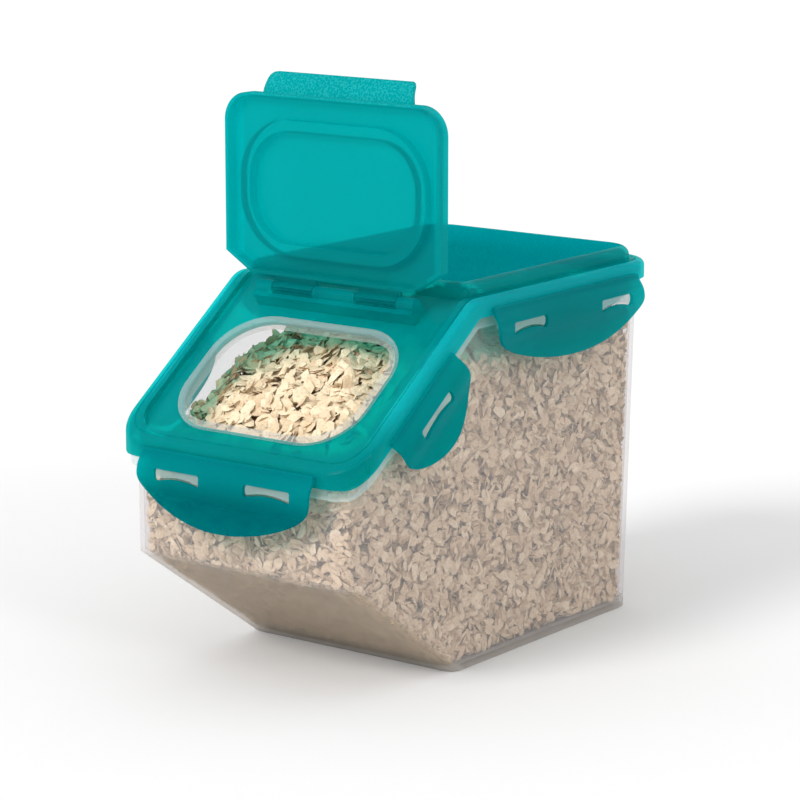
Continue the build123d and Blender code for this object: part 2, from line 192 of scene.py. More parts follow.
def new_group(name, inputs, outputs):
    """An empty shader group with named sockets: (tree, its input node, its output node)."""
    tree = bpy.data.node_groups.new(name, "ShaderNodeTree")
    for socket, kind, default in inputs:
        tree.interface.new_socket(socket, in_out="INPUT", socket_type=kind).default_value = default
    for socket, kind in outputs:
        tree.interface.new_socket(socket, in_out="OUTPUT", socket_type=kind)
    return tree, tree.nodes.new("NodeGroupInput"), tree.nodes.new("NodeGroupOutput")


def use_group(tree, group, values):
    """Places a group in a material with its own values, and returns the node."""
    node = tree.nodes.new("ShaderNodeGroup")
    node.node_tree = group
    for name, value in values.items():
        feed(tree, node.inputs[name], value)
    return node


def handling_group():
    """Group 'handling': faint cloudy tone, polish that varies and fine scuffs, on Object coordinates."""
    found = bpy.data.node_groups.get("handling")
    if found:
        return found
    tree, ins, outs = new_group(
        "handling",
        [
            ("Colour", "NodeSocketColor", (0.5, 0.5, 0.5, 1.0)),
            ("Deep colour", "NodeSocketColor", (0.3, 0.3, 0.3, 1.0)),
            ("Roughness", "NodeSocketFloat", 0.3),
            ("Roughness spread", "NodeSocketFloat", 0.1),
            ("Grain scale", "NodeSocketFloat", 900.0),
        ],
        [("Colour", "NodeSocketColor"), ("Roughness", "NodeSocketFloat"), ("Height", "NodeSocketFloat")],
    )
    coords = object_coords(tree)
    cloud = ramp(tree, noise(tree, coords, 14.0, 2.0), 0.32, 0.7)
    scuff = ramp(tree, noise(tree, coords, 150.0, 4.0, 0.6), 0.4, 0.75)
    grain = noise(tree, coords, ins.outputs["Grain scale"], 2.0)
    tone = mix_colour(tree, cloud, ins.outputs["Colour"], ins.outputs["Deep colour"])
    spread = math_node(tree, "MULTIPLY", scuff, ins.outputs["Roughness spread"])
    rough = math_node(tree, "ADD", ins.outputs["Roughness"], spread)
    made = (("Colour", tone), ("Roughness", rough), ("Height", grain))
    link(tree, [(value, outs.inputs[name]) for name, value in made])
    return tree


def stipple_group():
    """Group 'stipple': moulded leathery grain where the mask is 1, as a height and a sparkle of tone."""
    found = bpy.data.node_groups.get("stipple")
    if found:
        return found
    tree, ins, outs = new_group(
        "stipple",
        [("Mask", "NodeSocketFloat", 1.0), ("Scale", "NodeSocketFloat", 700.0)],
        [("Height", "NodeSocketFloat"), ("Sparkle", "NodeSocketFloat")],
    )
    cells = tree.nodes.new("ShaderNodeTexVoronoi")
    cells.feature = "F1"
    coords = object_coords(tree)
    link(tree, [(coords, cells.inputs["Vector"]), (ins.outputs["Scale"], cells.inputs["Scale"])])
    distance = cells.outputs["Distance"]
    height = math_node(tree, "MULTIPLY", distance, ins.outputs["Mask"])
    sparkle = math_node(tree, "MULTIPLY", ramp(tree, distance, 0.35, 0.75), ins.outputs["Mask"])
    link(tree, [(height, outs.inputs["Height"]), (sparkle, outs.inputs["Sparkle"])])
    return tree


# ---------------------------------------------------------------- masks


def slope_mask(tree):
    """Mask of the tub's sloping foot: 1 within a few millimetres of its plane, below the knee."""
    _, y, z = position(tree)
    steepness = FOOT_Z / (FOOT_FRONT - TUB_FRONT)
    plane = math_node(tree, "MULTIPLY", math_node(tree, "SUBTRACT", FOOT_FRONT, y), steepness)
    off = math_node(tree, "ABSOLUTE", math_node(tree, "SUBTRACT", z, plane))
    near = ramp(tree, off, start=0.008, full=0.0045)
    below = ramp(tree, z, start=FOOT_Z + 0.0035, full=FOOT_Z - 0.0045)
    return math_node(tree, "MULTIPLY", near, below)


def panel_mask(tree):
    """Mask of the flat top of the lid's rear panel, inside its rounded shoulders."""
    x, y, z = position(tree)
    mask = ramp(tree, z, start=PANEL_Z, full=PANEL_Z + 0.0004)
    for value, start, inward in (
        (math_node(tree, "ABSOLUTE", x), PANEL_HALF, -1),
        (y, PANEL_FRONT, 1),
        (y, PANEL_REAR, -1),
    ):
        inside = ramp(tree, value, start=start, full=start + inward * PANEL_SOFT)
        mask = math_node(tree, "MULTIPLY", mask, inside)
    return mask


def tab_mask(tree):
    """Mask of the door's finger tab, above the door's outline while it stands open."""
    return ramp(tree, position(tree)["Z"], start=TAB_Z, full=TAB_Z + 0.0008)


def lip_mask(tree):
    """Mask of the latches' low lips: a faint grain that starts well under the hinges."""
    return ramp(tree, position(tree)["Z"], start=0.168, full=0.080)


def painted_shade_low_mask(tree):
    """Mask of the latches' bowed lower halves, where their colour is darkened as painted shade; it comes in
    as they hang lower.
    """
    return ramp(tree, position(tree)["Z"], start=0.113, full=0.093)


def painted_highlight_border_mask(tree):
    """Mask of the door's turned border, outside its raised ring, where its colour is painted brighter as a
    painted highlight.
    """
    return ramp(tree, math_node(tree, "ABSOLUTE", position(tree)["X"]), start=0.0605, full=0.0625)


def floor_mask(tree):
    """Mask of the tub's lowest few millimetres, where its frosting is milkier and its colour a darker,
    warmer grey.
    """
    return ramp(tree, position(tree)["Z"], start=0.0062, full=0.0030)


def outside_mask(tree):
    """Mask of the tub's rim and lugs: 1 on every point that stands out of its upright walls.

    The walls are a rounded rectangle that widens with height, so the mask is a ramp of the distance to it:
    the length of (past the flat in x, past the flat in y) less the corner's radius.
    """
    x, y, z = position(tree)
    growth = math_node(tree, "MULTIPLY", z, (TOP_HALF - BASE_HALF) / RIM_Z)
    flat = math_node(tree, "ADD", growth, BASE_HALF - CORNER_FRONT)
    past_x = math_node(tree, "SUBTRACT", math_node(tree, "ABSOLUTE", x), flat)
    middle, reach = (TUB_FRONT + TUB_REAR) / 2, (TUB_REAR - TUB_FRONT) / 2
    from_middle = math_node(tree, "ABSOLUTE", math_node(tree, "SUBTRACT", y, middle))
    past_y = math_node(tree, "SUBTRACT", from_middle, reach - CORNER_FRONT)
    squares = []
    for past in (past_x, past_y):
        over = math_node(tree, "MAXIMUM", past, 0.0)
        squares.append(math_node(tree, "MULTIPLY", over, over))
    length = math_node(tree, "SQRT", math_node(tree, "ADD", *squares))
    return ramp(tree, math_node(tree, "SUBTRACT", length, CORNER_FRONT), start=0.0003, full=0.0009)


def painted_light_rim_mask(tree):
    """Mask of the lid's rim along its sides and rear, where its colour is painted brighter as painted
    light, for the light that gathers in the rounded edge.
    """
    behind = ramp(tree, position(tree)["Y"], start=-0.172, full=-0.140)
    return math_node(tree, "MULTIPLY", outside_mask(tree), behind)


# ---------------------------------------------------------------- materials


def new_material(name):
    """A new material with only its output node: (material, tree, output)."""
    material = bpy.data.materials.new(name)
    material.use_nodes = True
    tree = material.node_tree
    tree.nodes.clear()
    return material, tree, tree.nodes.new("ShaderNodeOutputMaterial")


def plastic_skin(tree, colour, roughness, spread, grain):
    """The handling group on a plastic, with a slightly deeper second colour."""
    values = {
        "Colour": colour,
        "Deep colour": tuple(DEEPER * part for part in colour),
        "Roughness": roughness,
        "Roughness spread": spread,
        "Grain scale": grain,
    }
    return use_group(tree, handling_group(), values)


def layer_plastic(tree, out, base, body, clear_colour, glow_share, blend, edge_share):
    """Wires a scattering body over a see-through layer, and returns the body's glossy node.

    body is the share that scatters face-on, and edge_share is what it gains edge-on; glow_share of the
    body lets light through.
    """
    gloss = tree.nodes.new("ShaderNodeBsdfPrincipled")
    gloss.inputs["IOR"].default_value = PLASTIC_IOR
    glow = tree.nodes.new("ShaderNodeBsdfTranslucent")
    scatter = tree.nodes.new("ShaderNodeMixShader")
    scatter.inputs[0].default_value = glow_share
    clear = tree.nodes.new("ShaderNodeBsdfTransparent")
    feed(tree, clear.inputs["Color"], clear_colour)
    edge = tree.nodes.new("ShaderNodeLayerWeight")
    edge.inputs["Blend"].default_value = blend
    share = math_node(tree, "MULTIPLY", edge.outputs["Facing"], edge_share)
    share = math_node(tree, "ADD", share, body, clamp=True)
    whole = tree.nodes.new("ShaderNodeMixShader")
    link(
        tree,
        [
            (base, gloss.inputs["Base Color"]),
            (base, glow.inputs["Color"]),
            (gloss.outputs[0], scatter.inputs[1]),
            (glow.outputs[0], scatter.inputs[2]),
            (share, whole.inputs[0]),
            (clear.outputs[0], whole.inputs[1]),
            (scatter.outputs[0], whole.inputs[2]),
            (whole.outputs[0], out.inputs["Surface"]),
        ],
    )
    return gloss


def tinted_plastic(name, colour, tint, body, roughness, mask, solid, speck, speck_share, light_and_shade_zone, light_and_shade_colour):
    """Translucent tinted plastic: a scattering body over a tinted see-through layer, denser edge-on.

    body is the share that scatters; tint multiplies what shows through each face. Where mask is 1 the skin
    is stippled, with specks of another colour, and solid adds to its body. Where the zone mask is 1 the
    body takes the zone's colour: painted light where that colour is brighter, painted shade where it is
    darker.
    """
    material, tree, out = new_material(name)
    skin = plastic_skin(tree, colour, roughness, 0.05, 500.0)
    where = mask(tree)
    dots = use_group(tree, stipple_group(), {"Mask": where, "Scale": 850.0})
    # Painted light and shade: where the zone mask is 1 the body colour is replaced, brighter on the lid's
    # rim and the door's border, darker on the latches' lower halves.
    base = mix_colour(tree, light_and_shade_zone(tree), skin.outputs["Colour"], light_and_shade_colour)
    base = mix_colour(tree, math_node(tree, "MULTIPLY", dots.outputs["Sparkle"], speck_share), base, speck)
    fine = math_node(tree, "MULTIPLY", skin.outputs["Height"], 0.3)
    height = math_node(tree, "ADD", fine, dots.outputs["Height"])
    shine = math_node(tree, "MULTIPLY", math_node(tree, "SUBTRACT", 1.0, where), 0.4)
    rough = math_node(tree, "ADD", skin.outputs["Roughness"], math_node(tree, "MULTIPLY", where, 0.12))
    share = math_node(tree, "ADD", math_node(tree, "MULTIPLY", where, solid), body)
    gloss = layer_plastic(tree, out, base, share, tint, glow_share=0.45, blend=0.3, edge_share=0.3)
    gloss.inputs["Specular IOR Level"].default_value = 0.0
    gloss.inputs["Coat Roughness"].default_value = 0.12
    gloss.inputs["Coat IOR"].default_value = 1.35
    link(
        tree,
        [
            (rough, gloss.inputs["Roughness"]),
            (shine, gloss.inputs["Coat Weight"]),
            (bump(tree, height, 0.00025, 0.5), gloss.inputs["Normal"]),
        ],
    )
    return material


def frosted_clear(name, haze, colour, patches=()):
    """Clear plastic with a light frosting: a see-through layer under a thin milky skin, milkier edge-on.

    Each patch is a mask, the haze that it adds and its colour.
    """
    material, tree, out = new_material(name)
    skin = plastic_skin(tree, colour, 0.28, 0.2, 700.0)
    base, body = skin.outputs["Colour"], haze
    for mask, more, patch_colour in patches:
        where = mask(tree)
        base = mix_colour(tree, where, base, patch_colour)
        body = math_node(tree, "ADD", math_node(tree, "MULTIPLY", where, more), body)
    gloss = layer_plastic(tree, out, base, body, CLEAR_COLOUR, glow_share=0.35, blend=0.22, edge_share=0.2)
    gloss.inputs["Specular IOR Level"].default_value = 0.4
    link(
        tree,
        [
            (skin.outputs["Roughness"], gloss.inputs["Roughness"]),
            (bump(tree, skin.outputs["Height"], 0.0001, 0.4), gloss.inputs["Normal"]),
        ],
    )
    return material


def oat_material(name, pale, warm, shade):
    """Rolled oat: cream to tan by each flake's own tone, with bran specks and a floury, ridged skin."""
    material, tree, out = new_material(name)
    coords = object_coords(tree)
    tone = tree.nodes.new("ShaderNodeAttribute")
    tone.attribute_name = "tone"
    fine, broad = noise(tree, coords, 750.0, 5.0, 0.7), noise(tree, coords, 260.0)
    base = mix_colour(tree, tone.outputs["Fac"], pale, warm)
    specks = math_node(tree, "MULTIPLY", ramp(tree, fine, 0.5, 0.68), 0.8)
    base = mix_colour(tree, specks, base, shade)
    patches = math_node(tree, "MULTIPLY", ramp(tree, broad, 0.5, 0.72), 0.35)
    base = mix_colour(tree, patches, base, warm)
    flour = tree.nodes.new("ShaderNodeBsdfPrincipled")
    flour.inputs["Roughness"].default_value = 0.75
    flour.inputs["Specular IOR Level"].default_value = 0.3
    link(
        tree,
        [
            (base, flour.inputs["Base Color"]),
            (bump(tree, math_node(tree, "ADD", fine, broad), 0.0005, 0.7), flour.inputs["Normal"]),
            (flour.outputs[0], out.inputs["Surface"]),
        ],
    )
    return material


def dress(material, *nodes):
    """Puts a material on CAD nodes."""
    for name in nodes:
        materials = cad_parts[name].data.materials
        materials.clear()
        materials.append(material)


# ---------------------------------------------------------------- meshes


def make_piece(name, vertices, triangles, material, tone, smooth=False):
    """Puts arrays of vertices, their tones and triangles into a mesh that rides on the canister."""
    mesh = bpy.data.meshes.new(name)
    count = len(triangles)
    mesh.vertices.add(len(vertices))
    mesh.vertices.foreach_set("co", np.ascontiguousarray(vertices, np.float32).ravel())
    mesh.loops.add(count * 3)
    mesh.loops.foreach_set("vertex_index", np.ascontiguousarray(triangles, np.int32).ravel())
    mesh.polygons.add(count)
    mesh.polygons.foreach_set("loop_start", np.arange(count, dtype=np.int32) * 3)
    mesh.polygons.foreach_set("use_smooth", np.full(count, smooth))
    mesh.update(calc_edges=True)
    layer = mesh.attributes.new("tone", "FLOAT", "POINT")
    layer.data.foreach_set("value", np.ascontiguousarray(tone, np.float32))
    mesh.materials.append(material)
    piece = bpy.data.objects.new(name, mesh)
    bpy.context.scene.collection.objects.link(piece)
    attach(piece, ROOT)


def half_width(z):
    """Tub's inside half width at height z: it grows evenly from the base to the rim."""
    return BASE_HALF + (TOP_HALF - BASE_HALF) * np.clip(z, 0, RIM_Z) / RIM_Z - TUB_WALL


def front_inside(z):
    """Inside of the tub's front at height z: the sloping foot up to the knee, then the upright wall."""
    run = (FOOT_FRONT - TUB_FRONT) / FOOT_Z
    lean = TUB_WALL * math.hypot(run, 1.0)
    return np.maximum(FOOT_FRONT + lean - run * z, TUB_FRONT + TUB_WALL)


def heap_height(x, y):
    """Top of the oats: a line that rises from the front to the rear, crowned across, with low waves."""
    across = np.clip(1 - (x / HEAP_HALF) ** 2, 0, 1)
    waves = 0.0018 * np.sin(x * 90 + 1.3) * np.cos(y * 70) + 0.0012 * np.sin(x * 170 + y * 130)
    return np.interp(y, HEAP_Y, HEAP_Z) + np.interp(y, CROWN_Y, CROWN_Z) * across**0.8 + waves


def flake_shapes(rng, count, long_axis, short_axis):
    """Flake outlines in their own axes, (count, 18, 3): a rim ring, an inner ring and two centres.

    Each ring is an ellipse whose radius is roughened vertex by vertex; the disc is bent along its length,
    creased down its middle and thickest at the centre.
    """
    sides = FLAKE_SIDES
    angle = np.arange(sides) * 2 * np.pi / sides
    a = rng.uniform(*long_axis, count)[:, None]
    b = rng.uniform(*short_axis, count)[:, None]
    rough = 1 + rng.normal(0, 0.13, (count, sides))
    rim_x, rim_y = a * np.cos(angle) * rough, b * np.sin(angle) * rough
    inner = rng.uniform(0.45, 0.62, (count, 1))
    thick = rng.uniform(0.00028, 0.00048, (count, 1))
    curl = rng.normal(0, 26.0, (count, 1))
    twist = rng.normal(0, 22.0, (count, 1))
    rim, ring = slice(0, sides), slice(sides, 2 * sides)
    shapes = np.zeros((count, 2 * sides + 2, 3))
    shapes[:, rim, 0], shapes[:, rim, 1] = rim_x, rim_y
    shapes[:, ring, 0], shapes[:, ring, 1] = rim_x * inner, rim_y * inner
    shapes[:, rim, 2] = rng.normal(0, 0.00012, (count, sides))
    shapes[:, ring, 2] = thick
    shapes[:, 2 * sides, 2] = (thick * rng.uniform(0.1, 0.9, (count, 1)))[:, 0]
    shapes[:, 2 * sides + 1, 2] = -thick[:, 0]
    shapes[:, :, 2] += curl * shapes[:, :, 0] ** 2 + twist * shapes[:, :, 0] * shapes[:, :, 1]
    return shapes


def flake_triangles():
    """Triangles of one flake: two bands over the top, and a fan under it."""
    sides = FLAKE_SIDES
    rim = np.arange(sides)
    after = (rim + 1) % sides
    top, bottom = np.full(sides, 2 * sides), np.full(sides, 2 * sides + 1)
    corners = (
        (rim, after, after + sides),
        (rim, after + sides, rim + sides),
        (rim + sides, after + sides, top),
        (after, rim, bottom),
    )
    return np.concatenate([np.stack(three, 1) for three in corners])


def lay_flakes(rng, centres, normals, tumble, long_axis, short_axis, keep_in=None):
    """Vertices of flakes at centres whose faces look along normals, tumbled by a random part of a turn.

    keep_in moves each flake in along its normal by the most that any of its points stands out of the wall.
    """
    count = len(centres)
    axis = normals + rng.normal(0, 1, (count, 3)) * tumble
    axis /= np.linalg.norm(axis, axis=1)[:, None]
    side = np.cross(axis, rng.normal(0, 1, (count, 3)))
    side /= np.linalg.norm(side, axis=1)[:, None]
    third = np.cross(axis, side)
    shapes = flake_shapes(rng, count, long_axis, short_axis)
    points = sum(shapes[:, :, i, None] * way[:, None] for i, way in enumerate((side, third, axis)))
    if keep_in is not None:
        out = np.einsum("nvk,nk->nv", points, normals).max(1)
        centres = centres - normals * (out + keep_in)[:, None]
    return points + centres[:, None]


def wall_spots(rng, count):
    """Spots spread over the tub's inside walls, and the outward normal at each.

    At height z the walls are a rounded rectangle. Half of it runs from the middle of the front, through a
    corner, along a side and through the rear corner to the middle of the rear; a length along that run,
    with a random side, gives each spot.
    """
    corner = TURN_RADIUS
    z = rng.uniform(LOWEST, HIGHEST, count)
    half, front = half_width(z), front_inside(z)
    rear = np.full(count, TUB_REAR - TUB_WALL)
    flat, side, arc = half - corner, rear - front - 2 * corner, np.pi / 2 * corner
    run = rng.uniform(0, 1, count) * (2 * flat + side + 2 * arc)
    turn = (np.clip(run - flat, 0, arc) + np.clip(run - flat - arc - side, 0, arc)) / corner
    x = np.clip(run, 0, flat) + corner * np.sin(turn) - np.clip(run - flat - side - 2 * arc, 0, flat)
    y = np.where(run < flat + arc, front + corner, rear - corner) - corner * np.cos(turn)
    along = (run >= flat + arc) & (run < flat + arc + side)
    y = np.where(along, front + corner + run - flat - arc, y)
    normals = np.stack([np.sin(turn), -np.cos(turn), np.full(count, -0.02)], 1)
    sign = np.where(rng.uniform(0, 1, count) < 0.5, -1.0, 1.0)
    normals[:, 0] *= sign
    return np.stack([x * sign, y, z], 1), normals


def flakes_piece(name, rng, points, material):
    """One mesh of many flakes, with a tone for each."""
    count, per, _ = points.shape
    faces = (flake_triangles()[None] + (np.arange(count) * per)[:, None, None]).reshape(-1, 3)
    tone = np.repeat(np.clip(rng.beta(1.6, 1.8, count), 0, 1), per)
    make_piece(name, points.reshape(-1, 3), faces, material, tone)


def settle(points, margin):
    """Moves each flake as a whole back inside the tub, by the most that any of its points stands out of it.

    Three passes do, because a move away from one wall can change what stands out of the next.
    """
    for _ in range(3):
        x, y, z = points[..., 0], points[..., 1], points[..., 2]
        side = np.sign(x.mean(1))
        move = np.zeros((len(points), 3))
        move[:, 2] = np.maximum(0, (TUB_FLOOR + margin - z).max(1))
        move[:, 0] = -side * np.maximum(0, (np.abs(x) - half_width(z) + margin).max(1))
        move[:, 1] = np.maximum(0, (front_inside(z) + margin - y).max(1))
        move[:, 1] -= np.maximum(0, (y - TUB_REAR + TUB_WALL + margin).max(1))
        for corner_y, sign, radius in CORNERS:
            dx = np.abs(x) - (half_width(z) - radius)
            dy = sign * (y - corner_y) + radius
            over = np.where((dx > 0) & (dy > 0), np.hypot(dx, dy) - radius + margin, 0).max(1)
            share = np.maximum(0, over) * 0.6
            move[:, 0] -= side * share
            move[:, 1] -= sign * share
        points = points + move[:, None]
    return points


def inside_tub(points, margin):
    """Which flakes have all their points inside the tub's walls, foot and floor."""
    x, y, z = points[..., 0], points[..., 1], points[..., 2]
    half = half_width(z) - margin
    ok = (np.abs(x) < half) & (y < TUB_REAR - TUB_WALL - margin)
    ok &= (y > front_inside(z) + margin) & (z > TUB_FLOOR + margin)
    for corner_y, sign, radius in CORNERS:
        dx = np.abs(x) - (half - radius)
        dy = sign * (y - corner_y) + radius
        ok &= ~((dx > 0) & (dy > 0) & (np.hypot(dx, dy) > radius - margin))
    return ok.all(axis=-1)


def tube_triangles(rows, columns):
    """Triangles of a grid of rows by columns of points whose last column joins its first."""
    r, c = np.meshgrid(np.arange(rows - 1), np.arange(columns), indexing="ij")
    here, right = r * columns + c, r * columns + (c + 1) % columns
    up, across = here + columns, right + columns
    halves = ((here, right, across), (here, across, up))
    return np.concatenate([np.stack(three, -1).reshape(-1, 3) for three in halves])


# ---------------------------------------------------------------- settings


def colour_setting(name, description, default):
    """A colour in the sidebar."""
    return bpy.props.FloatVectorProperty(
        name=name, description=description, size=3, subtype="COLOR", default=default
    )


class CanisterColours(bpy.types.PropertyGroup):
    """Colours of the canister's plastics and of what it holds."""

    lid: colour_setting("Lid", "Colour of the lid's plastic", (0.0, 0.40, 0.45))
    door: colour_setting("Door", "Colour of the pour door's plastic", (0.0, 0.36, 0.37))
    tub: colour_setting("Tub", "Colour of the tub's frosting", (0.74, 0.75, 0.76))
    seal: colour_setting("Seal", "Colour of the pour seal", (0.80, 0.82, 0.81))
    oats: colour_setting("Oats", "Colour of the palest flakes", (0.85, 0.72, 0.52))


class CanisterFill(bpy.types.PropertyGroup):
    """How the canister is filled."""

    wall_flakes: bpy.props.IntProperty(
        name="Wall flakes",
        description="Flakes tried against the upright walls",
        default=27000,
        min=100,
        max=28000,
    )
    foot_flakes: bpy.props.IntProperty(
        name="Foot flakes",
        description="Flakes tried against the sloping foot",
        default=2600,
        min=100,
        max=6000,
    )
    top_flakes: bpy.props.IntProperty(
        name="Top flakes", description="Flakes tried on the heap", default=4600, min=100, max=6000
    )
    split_y: bpy.props.FloatProperty(
        name="Split",
        description="Where each side's flakes are cut into two pieces",
        default=-0.035,
        unit="LENGTH",
    )
    core_gap: bpy.props.FloatProperty(
        name="Core gap",
        description="Depth of the core behind the tub's inside walls",
        default=0.0075,
        subtype="DISTANCE",
        unit="LENGTH",
    )


# ---------------------------------------------------------------- operators


class CANISTER_OT_tub(bpy.types.Operator):
    """Gives the tub its lightly frosted clear plastic, milky on the sloping foot."""

    bl_idname = "canister.tub"
    bl_label = "Finish the tub"

    def execute(self, context):
        colour = tuple(context.scene.canister_colours.tub)
        patches = (
            (slope_mask, 0.20, FOOT_COLOUR),
            (floor_mask, 0.30, FLOOR_COLOUR),
            (outside_mask, 0.13, RIM_COLOUR),
        )
        dress(frosted_clear("Frosted clear tub", 0.13, colour, patches), "tub")
        return {"FINISHED"}


class CANISTER_OT_lid(bpy.types.Operator):
    """Gives the lid its translucent teal, stippled on the flat of the rear panel, with painted light on its
    rim along the sides and rear.
    """

    bl_idname = "canister.lid"
    bl_label = "Finish the lid"

    def execute(self, context):
        red, green, blue = context.scene.canister_colours.lid
        material = tinted_plastic(
            "Teal lid",
            colour=(red, green, blue),
            tint=(0.0, 0.86, 0.78),
            body=0.37,
            roughness=0.24,
            mask=panel_mask,
            solid=0.42,
            speck=(0.0, 0.62 * green, 0.62 * blue),
            speck_share=0.6,
            # Painted light: the rim along the sides and rear takes a brighter teal.
            light_and_shade_zone=painted_light_rim_mask,
            light_and_shade_colour=(0.01, 1.55 * green, 1.6 * blue),
        )
        dress(material, "lid")
        return {"FINISHED"}


class CANISTER_OT_door(bpy.types.Operator):
    """Gives the pour door its clearer, brighter teal, with a painted highlight on its turned border."""

    bl_idname = "canister.door"
    bl_label = "Finish the pour door"

    def execute(self, context):
        colour = tuple(context.scene.canister_colours.door)
        material = tinted_plastic(
            "Teal door",
            colour=colour,
            tint=(0.0, 0.77, 0.78),
            body=0.40,
            roughness=0.26,
            mask=tab_mask,
            solid=0.1,
            speck=TAB_SPECK,
            speck_share=0.22,
            # Painted highlight: the turned border takes a teal a fifth brighter.
            light_and_shade_zone=painted_highlight_border_mask,
            light_and_shade_colour=tuple(1.2 * part for part in colour),
        )
        dress(material, "pour_door")
        return {"FINISHED"}


class CANISTER_OT_latches(bpy.types.Operator):
    """Gives each latch its glossy teal, darkened by painted shade on its bowed lower half."""

    bl_idname = "canister.latches"
    bl_label = "Finish the latches"

    def execute(self, context):
        red, green, blue = (0.92 * part for part in context.scene.canister_colours.lid)
        material = tinted_plastic(
            "Teal latch",
            colour=(red, green, blue),
            tint=(0.0, 0.80, 0.76),
            body=0.42,
            roughness=0.18,
            mask=lip_mask,
            solid=0.05,
            speck=(0.0, 0.8 * green, 0.8 * blue),
            speck_share=0.1,
            # Painted shade: the bowed lower halves take a darker teal.
            light_and_shade_zone=painted_shade_low_mask,
            light_and_shade_colour=(0.0, 0.5 * green, 0.56 * blue),
        )
        dress(material, *LATCHES)
        return {"FINISHED"}


class CANISTER_OT_seals(bpy.types.Operator):
    """Gives the pour seal and the lid gasket their milky silicone."""

    bl_idname = "canister.seals"
    bl_label = "Finish the seals"

    def execute(self, context):
        colour = tuple(context.scene.canister_colours.seal)
        dress(frosted_clear("Milky silicone", 0.17, colour), "pour_seal", "lid_gasket")
        return {"FINISHED"}


